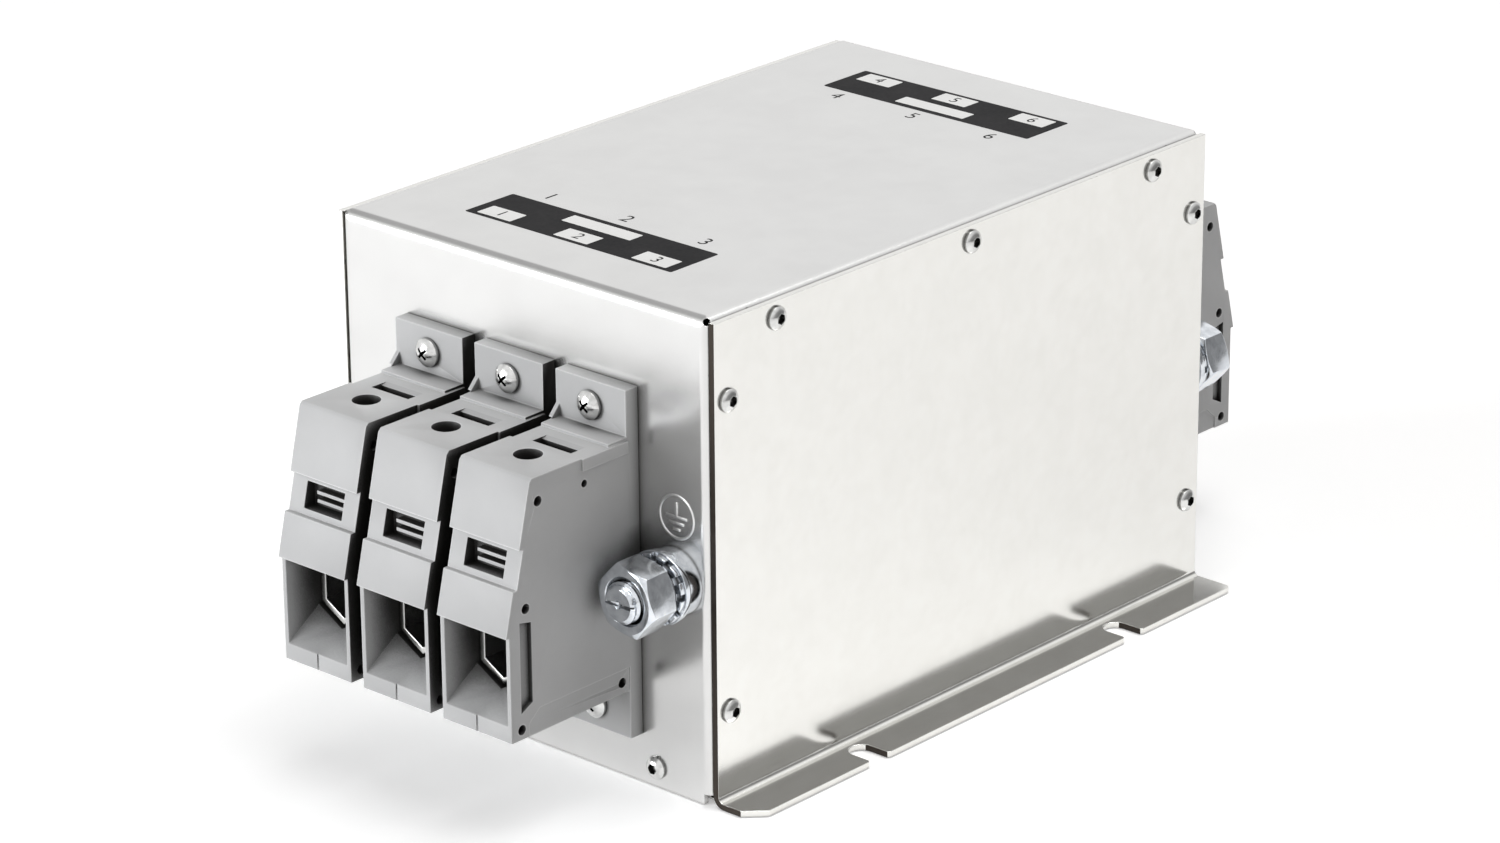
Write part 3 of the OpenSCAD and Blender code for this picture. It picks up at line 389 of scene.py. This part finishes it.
materials = {
    "cover": makeSheetSteel("coverSteel", coverLook),
    "symbol": makeSheetSteel("embossedSteel", symbolHighlightLook),
    "side": makeSheetSteel("sideSteel", sideLook),
    # the left panel's steel: the side steel without its painted shade in seams and on cut faces
    "leftSide": makeSheetSteel("leftSideSteel", {**sideLook, "paintedShade": sideLook["light"],
                                                 "cutFaceShade": sideLook["light"]}),
    "base": makeSheetSteel("baseSteel", baseLook),
    "zinc": makePlatedSteel("brightZinc", zincLook),
    "screw": makePlatedSteel("screwZinc", screwLook),
    "cage": makePlatedSteel("cageSteel", cageLook),
    "plastic": makeMouldedPlastic("greyPolyamide", plasticLook),
    # the same plastic with deeper painted shade
    "recess": makeMouldedPlastic("shadedPolyamide", {**plasticLook, **deepCavity}),
    "ink": makeMouldedPlastic("blackInk", inkLook),
    "paleInk": makeMouldedPlastic("paleInk", paleInkLook),
    "copper": makePlatedSteel("tinnedCopper", copperLook),
    "wire": makePlatedSteel("enamelledWire", wireLook),
}
innerPlastics = {
    "core": ("coatedCore", (0.05, 0.055, 0.06), (0.08, 0.085, 0.09), 60.0, 0.40),
    "insulator": ("insulator", (0.55, 0.50, 0.38), (0.63, 0.58, 0.45), 60.0, 0.50),
    "laminate": ("laminate", (0.02, 0.12, 0.05), (0.03, 0.16, 0.07), 200.0, 0.30),
    "yellowCase": ("yellowCase", (0.66, 0.38, 0.04), (0.74, 0.45, 0.06), 60.0, 0.30),
    "blueCase": ("blueCase", (0.03, 0.10, 0.35), (0.05, 0.14, 0.42), 60.0, 0.30),
}
for key, (name, dark, light, scale, roughness) in innerPlastics.items():
    materials[key] = makeMouldedPlastic(name, {"dark": dark, "light": light, "scale": scale,
                                               "textureScale": 900.0, "roughness": roughness, "bump": 0.15,
                                               **plasticCavity})
slotMaterials = {
    "sheet_steel_cover": "cover", "sheet_steel_side": "side", "sheet_steel_base": "base",
    "screw_steel": "screw", "terminal_plastic": "plastic", "cage_steel": "cage", "copper_bar": "copper",
    "enamelled_wire": "wire", "zinc_steel": "zinc", "ferrite": "core", "inner_plastic": "insulator",
    "strap_steel": "screw", "liner_sheet": "insulator", "board_laminate": "laminate", "sleeve_tin": "screw",
    "resistor_body": "insulator", "x_capacitor_case": "yellowCase", "y_capacitor_case": "blueCase",
}
slotOf = {part["node"]: part["material_slot"] for part in frame["record"]["subparts"]}
for nodeName, node in frame["nodes"].items():
    node.data.materials.clear()
    node.data.materials.append(materials[slotMaterials[slotOf[nodeName]]])
frame["nodes"]["side_panel_left"].data.materials[0] = materials["leftSide"]
print("materials placed on every node")


def softenEdges(piece, width, segments, angle, shortest):  # rounds the sharp edges longer than shortest
    bpy.ops.object.mode_set(mode="EDIT")
    bpy.ops.mesh.select_mode(type="EDGE")
    bpy.ops.mesh.select_all(action="DESELECT")
    bpy.ops.mesh.edges_select_sharp(sharpness=math.radians(angle))
    bpy.ops.object.mode_set(mode="OBJECT")
    mesh = piece.data
    weights = mesh.attributes.new("bevel_weight_edge", "FLOAT", "EDGE")
    for edge in mesh.edges:
        a, b = (mesh.vertices[i].co for i in edge.vertices)
        weights.data[edge.index].value = 1.0 if edge.select and (a - b).length > shortest else 0.0
    soften = piece.modifiers.new("soften", "BEVEL")
    soften.width = width
    soften.segments = segments
    soften.limit_method = "WEIGHT"
    soften.use_clamp_overlap = False


def cadCopy(nodeName):  # a merged copy of the node's mesh
    activate(frame["nodes"][nodeName])
    bpy.ops.object.duplicate(linked=False)
    piece = bpy.context.object
    piece.parent = None
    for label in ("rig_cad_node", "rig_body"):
        if label in piece:
            del piece[label]
    activate(piece)
    bpy.ops.object.mode_set(mode="EDIT")
    bpy.ops.mesh.select_all(action="SELECT")
    bpy.ops.mesh.remove_doubles(threshold=mergeDistance)
    bpy.ops.mesh.dissolve_limited(angle_limit=flatAngle)
    bpy.ops.object.mode_set(mode="OBJECT")
    return piece


def roundedPiece(piece, nodeName, look, material):
    activate(piece)
    softenEdges(piece, look["width"], look["segments"], look["angle"], look["shortest"])
    finishPiece(piece, nodeName + "_dressed", materials[material])
    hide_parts(nodeName)
    return piece


def roundedCopy(nodeName, look, material):
    return roundedPiece(cadCopy(nodeName), nodeName, look, material)


blockEdges = {"width": 0.16 * mm, "segments": 2, "angle": 35, "shortest": 0.5 * mm}
cageEdges = {"width": 0.15 * mm, "segments": 2, "angle": 35, "shortest": 0.5 * mm}
nutEdges = {"width": 0.14 * mm, "segments": 3, "angle": 25, "shortest": 0.4 * mm}
washerEdges = {"width": 0.10 * mm, "segments": 2, "angle": 35, "shortest": 0.2 * mm}
# lowest and highest corners of each recess in a front block, whose faces get the plastic with deeper painted
# shade, in millimetres from the block's middle, the cover's face and the block's underside
blockRecesses = {"wireEntry": ((-9.9, -42.9, 0.3), (9.9, -34.0, 25.9)),
                 "clampChamber": ((-9.9, -35.2, 0.3), (9.9, -1.0, 52.0)),
                 "toolHole": ((-3.5, -28.1, 30.0), (3.5, -21.1, 62.1)),
                 "testPocket": ((-5.1, -18.1, 50.0), (7.1, -13.0, 62.15)),
                 "markerWindow": ((-6.3, -38.1, 36.9), (6.3, -35.5, 45.9)),
                 "leftSlot": ((-10.99, -39.8, 6.3), (-9.5, -35.9, 28.7)),
                 "rightSlot": ((9.5, -39.8, 6.3), (10.99, -35.9, 28.7))}
blockPlan = {"halfWidth": 11.0, "earReach": 12.0, "pocketSlopeY": -16.3, "pocketSlopeZ": 59.6,
             "belowPocket": 50.0, "slopeRise": 2.2, "slopeBack": 1.3, "near": 0.05, "facing": 0.9}


def placeInBlock(point, end, middle):  # in millimetres, turned so that every block is like a front one
    sign, face = (1, coverLow.y) if end == "front" else (-1, coverHigh.y)
    return sign * (point.x - middle) / mm, sign * (point.y - face) / mm, (point.z - blockUnder) / mm


def besideNeighbour(polygon, middle, low, others):  # whether a face looks across the gap at the next block
    plan = blockPlan
    outer = abs(polygon.center.x - middle) > plan["facing"] * plan["halfWidth"] * mm
    return outer and abs(polygon.normal.x) > plan["facing"] and any(
        (other - low.x) * polygon.normal.x > 0 for other in others)


def dressTerminal(end, phase):
    plan = blockPlan
    nodeName = f"terminal_{end}_{phase}"
    low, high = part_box(nodeName)
    half = plan["halfWidth"] * mm
    middle = low.x + half if end == "front" else high.x - half
    piece = cadCopy(nodeName)
    for vertex in piece.data.vertices:  # a wider test pocket, whose slope ends just under the block's top
        out, up = placeInBlock(vertex.co, end, middle)[1:]
        if abs(out - plan["pocketSlopeY"]) < plan["near"] and up > plan["belowPocket"]:
            vertex.co.y += (1 if end == "front" else -1) * plan["slopeBack"] * mm
            if abs(up - plan["pocketSlopeZ"]) < plan["near"]:
                vertex.co.z += plan["slopeRise"] * mm
    piece = roundedPiece(piece, nodeName, blockEdges, "plastic")
    piece.data.materials.append(materials["recess"])
    others = [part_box(f"terminal_{end}_{other}")[0].x for other in phases if other != phase]
    for polygon in piece.data.polygons:  # walls of recesses, and sides that face the next block, get deeper painted shade
        place = placeInBlock(polygon.center, end, middle)
        inside = any(all(a < p < b for a, p, b in zip(corners[0], place, corners[1]))
                     for corners in blockRecesses.values())
        polygon.material_index = 1 if inside or besideNeighbour(polygon, middle, low, others) else 0


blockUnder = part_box("terminal_front_1")[0].z + blockPlan["earReach"] * mm
for end in ends:
    for phase in phases:
        dressTerminal(end, phase)
        roundedCopy(f"clamp_cage_{end}_{phase}", cageEdges, "cage")
roundedCopy("earth_nuts", nutEdges, "zinc")
roundedCopy("earth_washers", washerEdges, "zinc")
roundedCopy("earth_lock_washers", washerEdges, "zinc")
print("terminal blocks and earth fasteners dressed")

# printing on the cover's top, in millimetres, measured inwards from the end's face
labelBlock = {
    "middle": (-2.0, 26.0), "size": (66.0, 16.2), "corner": 0.5, "thickness": 0.04,
    "windowPitch": 24.8, "window": (10.8, 5.8), "windowY": 22.0, "wideWindow": (22.0, 4.7), "wideY": 30.0,
    "windowCorner": 0.3, "inkThickness": 0.02, "digitHeight": 3.6, "besideDigits": 4.2, "besideY": 38.5,
    "textPerHeight": 1.4,
}


def printedPlate(x, y, z, width, depth, thickness, corner):
    deselectAll()
    bpy.ops.mesh.primitive_cube_add(size=1, location=(x * mm, y * mm, z + thickness * mm / 2))
    plate = bpy.context.object
    plate.scale = (width * mm, depth * mm, thickness * mm)
    bpy.ops.object.transform_apply(location=False, rotation=False, scale=True)
    bpy.ops.object.mode_set(mode="EDIT")
    bpy.ops.mesh.select_mode(type="EDGE")
    bpy.ops.mesh.select_all(action="DESELECT")
    bpy.ops.object.mode_set(mode="OBJECT")
    for edge in plate.data.edges:
        a, b = (plate.data.vertices[i].co for i in edge.vertices)
        edge.select = abs(a.z - b.z) > 0.5 * thickness * mm
    bpy.ops.object.mode_set(mode="EDIT")
    bpy.ops.mesh.bevel(offset=corner * mm, segments=3)
    bpy.ops.object.mode_set(mode="OBJECT")
    return plate


def printedDigit(text, x, y, z, height):
    deselectAll()
    bpy.ops.object.text_add(location=(x * mm, y * mm, z))
    digit = bpy.context.object
    digit.data.body = text
    digit.data.size = height * mm * labelBlock["textPerHeight"]
    digit.data.align_x = "CENTER"
    digit.data.align_y = "CENTER"
    digit.data.extrude = labelBlock["inkThickness"] * mm / 2
    digit.data.resolution_u = 4
    bpy.ops.object.convert(target="MESH")
    return bpy.context.object


def makeLabels(end):
    look = labelBlock
    sign = 1 if end == "front" else -1
    edgeY = coverLow.y / mm if end == "front" else coverHigh.y / mm
    numbers = ("1", "2", "3") if end == "front" else ("4", "5", "6")
    middleX, middleY = look["middle"]
    columns = [middleX + k * look["windowPitch"] for k in (-1, 0, 1)]

    def lineY(distance):
        return edgeY + sign * distance

    z = coverHigh.z
    plate = printedPlate(middleX, lineY(middleY), z, *look["size"], look["thickness"], look["corner"])
    finishPiece(plate, f"label_{end}", materials["ink"])
    z += look["thickness"] * mm
    ink, corner = look["inkThickness"], look["windowCorner"]
    windows = [printedPlate(x, lineY(look["windowY"]), z, *look["window"], ink, corner) for x in columns]
    windows.append(printedPlate(middleX, lineY(look["wideY"]), z, *look["wideWindow"], ink, corner))
    finishPiece(joinPieces(windows), f"label_windows_{end}", materials["paleInk"])
    z += ink * mm
    digits = [printedDigit(number, x, lineY(look["windowY"]), z, look["digitHeight"])
              for x, number in zip(columns, numbers)]
    digits += [printedDigit(number, x, lineY(look["besideY"]), coverHigh.z, look["besideDigits"])
               for x, number in zip(columns, numbers)]
    finishPiece(joinPieces(digits), f"label_numbers_{end}", materials["ink"])


for end in ends:
    makeLabels(end)
print("printed blocks placed")

# embossed earth symbol above each stud, placed from the stud's middle
earthSymbol = {"offsetX": 0.6, "offsetZ": 15.7, "radius": 5.2, "line": 0.8, "proud": 0.22, "softShare": 0.8,
               "stem": {"middleZ": 1.9, "height": 3.6}, "bars": ((0.0, 6.6), (-1.5, 4.6), (-3.0, 2.4))}


def embossedBar(x, z, width, height):
    deselectAll()
    depth = earthSymbol["proud"]
    bpy.ops.mesh.primitive_cube_add(size=1, location=(x * mm, coverLow.y, z * mm))
    bar = bpy.context.object
    bar.scale = (width * mm, 2 * depth * mm, height * mm)
    bpy.ops.object.transform_apply(location=False, rotation=False, scale=True)
    soften = bar.modifiers.new("soften", "BEVEL")
    soften.width = depth * mm * earthSymbol["softShare"]
    soften.segments = 2
    bpy.ops.object.modifier_apply(modifier="soften")
    return bar


studLow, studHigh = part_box("earth_stud_front")
studX, studZ = (studLow.x + studHigh.x) / 2 / mm, (studLow.z + studHigh.z) / 2 / mm
symbolX, symbolZ = studX + earthSymbol["offsetX"], studZ + earthSymbol["offsetZ"]
deselectAll()
bpy.ops.mesh.primitive_torus_add(
    location=(symbolX * mm, coverLow.y, symbolZ * mm), rotation=(math.pi / 2, 0, 0),
    major_radius=earthSymbol["radius"] * mm, minor_radius=earthSymbol["line"] * mm / 2,
    major_segments=64, minor_segments=12)
ring = bpy.context.object
ring.scale = (1, 1, 2 * earthSymbol["proud"] / earthSymbol["line"])
stem = earthSymbol["stem"]
bars = [embossedBar(symbolX, symbolZ + stem["middleZ"], earthSymbol["line"], stem["height"])]
for rise, width in earthSymbol["bars"]:
    bars.append(embossedBar(symbolX, symbolZ + rise, width, earthSymbol["line"]))
bpy.ops.object.select_all(action="DESELECT")
symbol = joinPieces([ring, *bars])
finishPiece(symbol, "earth_symbol_front", materials["symbol"])
rearSymbol = movedCopy(symbol, "earth_symbol_rear", Matrix.Scale(-1, 4, Vector((0, 1, 0))))
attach(rearSymbol, "root")
print("earth symbols embossed")

# threaded earth studs, in millimetres
threadedStud = {"radius": 5.0, "root": 4.45, "overlap": 0.05, "pitch": 1.5, "turns": 3, "steps": 40,
                "chamfer": 1.1, "runOut": 0.75, "shoulder": 1.0, "near": 0.05}


def threadCoil(look, tip):  # a ridge of a few turns round the Z axis, ending under the tip at height tip
    deselectAll()
    bpy.ops.mesh.primitive_circle_add(vertices=4, radius=1, rotation=(math.pi / 2, 0, 0))
    coil = bpy.context.object
    depth = look["radius"] - look["root"] + look["overlap"]
    coil.scale = (depth * mm, 0.5 * look["pitch"] * mm, 1)
    bpy.ops.object.transform_apply(location=False, rotation=True, scale=True)
    start = tip - look["runOut"] * mm - look["turns"] * look["pitch"] * mm
    coil.data.transform(Matrix.Translation(((look["radius"] - depth) * mm, 0, start)))
    sweep = coil.modifiers.new("sweep", "SCREW")
    sweep.axis = "Z"
    sweep.screw_offset = look["pitch"] * mm
    sweep.iterations = look["turns"]
    sweep.steps = sweep.render_steps = look["steps"]
    bpy.ops.object.modifier_apply(modifier="sweep")
    bpy.ops.object.mode_set(mode="EDIT")
    bpy.ops.mesh.select_all(action="SELECT")
    bpy.ops.mesh.remove_doubles(threshold=0.001 * mm)
    bpy.ops.mesh.fill_holes(sides=4)
    bpy.ops.mesh.normals_make_consistent(inside=False)
    bpy.ops.object.mode_set(mode="OBJECT")
    for vertex in coil.data.vertices:  # the ridge runs out under the tip's chamfer
        limit = look["radius"] * mm - max(0.0, vertex.co.z - (tip - look["chamfer"] * mm))
        radius = math.hypot(vertex.co.x, vertex.co.y)
        if radius > limit:
            vertex.co.x *= limit / radius
            vertex.co.y *= limit / radius
    return coil


def makeStud(look):
    stud = cadCopy("earth_stud_front")
    for vertex in stud.data.vertices:  # the plain shank shrinks to the thread's root
        across = Vector((vertex.co.x - studX * mm, vertex.co.z - studZ * mm))
        outside = vertex.co.y < coverLow.y - look["shoulder"] * mm
        if outside and abs(across.length - look["radius"] * mm) < look["near"] * mm:
            across *= look["root"] / look["radius"]
            vertex.co.x, vertex.co.z = studX * mm + across.x, studZ * mm + across.y
    coil = threadCoil(look, coverLow.y - studLow.y)
    onStud = Matrix.Translation((studX * mm, coverLow.y, studZ * mm))
    coil.data.transform(onStud @ Matrix.Rotation(math.pi / 2, 4, "X"))
    return joinPieces([stud, coil])


stud = makeStud(threadedStud)
finishPiece(stud, "earth_stud_front_dressed", materials["zinc"])
aboutStud = Matrix.Translation((2 * studX * mm, 0, 0)) @ Matrix.Rotation(math.pi, 4, "Z")
rearStud = movedCopy(stud, "earth_stud_rear_dressed", aboutStud)
for piece, nodeName in ((stud, "earth_stud_front"), (rearStud, "earth_stud_rear")):
    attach(piece, "root")
    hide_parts(nodeName)
print("threaded studs placed")


def makeStage():  # a plain white floor that stays out of the part
    deselectAll()
    bpy.ops.mesh.primitive_plane_add(size=floorLook["size"], location=(0, 0, -floorLook["under"]))
    floor = bpy.context.object
    floor.name = "floor"
    material, tree, shader = startMaterial("floorPaper")
    shader.inputs["Base Color"].default_value = (*floorLook["colour"], 1)
    shader.inputs["Roughness"].default_value = floorLook["roughness"]
    shader.inputs["Specular IOR Level"].default_value = floorLook["specular"]
    rays = tree.nodes.new("ShaderNodeLightPath")
    seen = mathNode(tree, "ADD", rays.outputs["Is Camera Ray"], rays.outputs["Is Glossy Ray"])
    seen = mathNode(tree, "ADD", seen, rays.outputs["Is Transmission Ray"], clamp=True)
    shader.inputs["Emission Color"].default_value = (1, 1, 1, 1)
    tree.links.new(mathNode(tree, "MULTIPLY", seen, floorLook["lift"]), shader.inputs["Emission Strength"])
    floor.data.materials.append(material)


def makeWorld():  # white to the camera, even for diffuse light, with darker patches for reflections
    scene = bpy.context.scene
    scene.world = scene.world or bpy.data.worlds.new("world")
    scene.world.use_nodes = True
    tree = scene.world.node_tree
    tree.nodes.clear()
    rays = tree.nodes.new("ShaderNodeLightPath")
    towards = tree.nodes.new("ShaderNodeTexCoord").outputs["Generated"]
    level = skyLight["bright"]
    for patch in skyLight["patches"]:
        facing = tree.nodes.new("ShaderNodeVectorMath")
        facing.operation = "DOT_PRODUCT"
        tree.links.new(towards, facing.inputs[0])
        facing.inputs[1].default_value = patch["towards"]
        fade = tree.nodes.new("ShaderNodeMapRange")
        fade.interpolation_type = "SMOOTHSTEP"
        tree.links.new(facing.outputs["Value"], fade.inputs["Value"])
        limits = ("From Min", "From Max", "To Min", "To Max")
        for label, value in zip(limits, (*patch["fade"], 1.0, patch["share"])):
            fade.inputs[label].default_value = value
        level = mathNode(tree, "MULTIPLY", fade.outputs["Result"], level)
    glossy = mathNode(tree, "MULTIPLY", rays.outputs["Is Glossy Ray"],
                      mathNode(tree, "SUBTRACT", level, skyLight["diffuse"]))
    seen = mathNode(tree, "ADD", rays.outputs["Is Camera Ray"], rays.outputs["Is Transmission Ray"],
                    clamp=True)
    strength = mathNode(tree, "ADD", mathNode(tree, "MULTIPLY", seen, 1.0 - skyLight["diffuse"]), glossy)
    strength = mathNode(tree, "ADD", strength, skyLight["diffuse"])
    sky = tree.nodes.new("ShaderNodeBackground")
    tint = mixColours(tree, rays.outputs["Is Diffuse Ray"], skyLight["tint"], skyLight["diffuseTint"])
    tree.links.new(tint, sky.inputs["Color"])
    tree.links.new(strength, sky.inputs["Strength"])
    output = tree.nodes.new("ShaderNodeOutputWorld")
    tree.links.new(sky.outputs["Background"], output.inputs["Surface"])


def makeSoftbox(name, look):
    lamp = bpy.data.lights.new(name, "AREA")
    lamp.shape = "RECTANGLE"
    lamp.size, lamp.size_y = look["size"]
    lamp.energy = look["watts"]
    lamp.color = look["colour"]
    holder = bpy.data.objects.new(name, lamp)
    bpy.context.scene.collection.objects.link(holder)
    holder.location = look["place"]
    towards = Vector(look["aim"]) - Vector(look["place"])
    holder.rotation_euler = towards.to_track_quat("-Z", "Y").to_euler()


floorLook = {"size": 12, "under": 0.2 * mm, "colour": (0.94, 0.94, 0.94), "roughness": 0.9, "specular": 0.1,
             "lift": 0.35}
skyLight = {
    "bright": 0.96, "diffuse": 0.15, "tint": (1.0, 1.0, 1.0), "diffuseTint": (1.0, 0.965, 0.93),
    "patches": ({"towards": (0.80, 0.45, -0.40), "fade": (0.36, 0.64), "share": 0.27},  # low, behind right
                {"towards": (-0.66, 0.05, 0.75), "fade": (0.86, 0.95), "share": 0.5}),  # high on the left
}
softboxes = {
    "frontBox": {"place": (-0.85, -1.60, 0.45), "aim": (0, -0.05, 0.05), "size": (1.0, 0.7), "watts": 26.0,
                 "colour": (0.97, 0.985, 1.0)},
    "topBox": {"place": (0.35, 0.35, 1.9), "aim": (0, 0, 0.05), "size": (1.4, 1.4), "watts": 23.0,
               "colour": (1.0, 1.0, 1.0)},
}
makeStage()
makeWorld()
for boxName, look in softboxes.items():
    makeSoftbox(boxName, look)

viewpoint = {"place": (0.8118, -0.9087, 0.5273), "azimuth": 42.135, "elevation": 21.224, "roll": -0.446,
             "lens": 128.1, "sensor": 36.0, "clip": (0.05, 50)}
cameraData = bpy.data.cameras.new("camera")
cameraData.lens = viewpoint["lens"]
cameraData.sensor_width = viewpoint["sensor"]
cameraData.clip_start, cameraData.clip_end = viewpoint["clip"]
camera = bpy.data.objects.new("camera", cameraData)
bpy.context.scene.collection.objects.link(camera)
turn = (Matrix.Rotation(math.radians(viewpoint["azimuth"]), 4, "Z")
        @ Matrix.Rotation(math.radians(90 - viewpoint["elevation"]), 4, "X")
        @ Matrix.Rotation(math.radians(viewpoint["roll"]), 4, "Z"))
camera.matrix_world = Matrix.Translation(viewpoint["place"]) @ turn
bpy.context.scene.camera = camera
bpy.context.scene.view_settings.view_transform = "Standard"
print("stage, lights and camera ready")
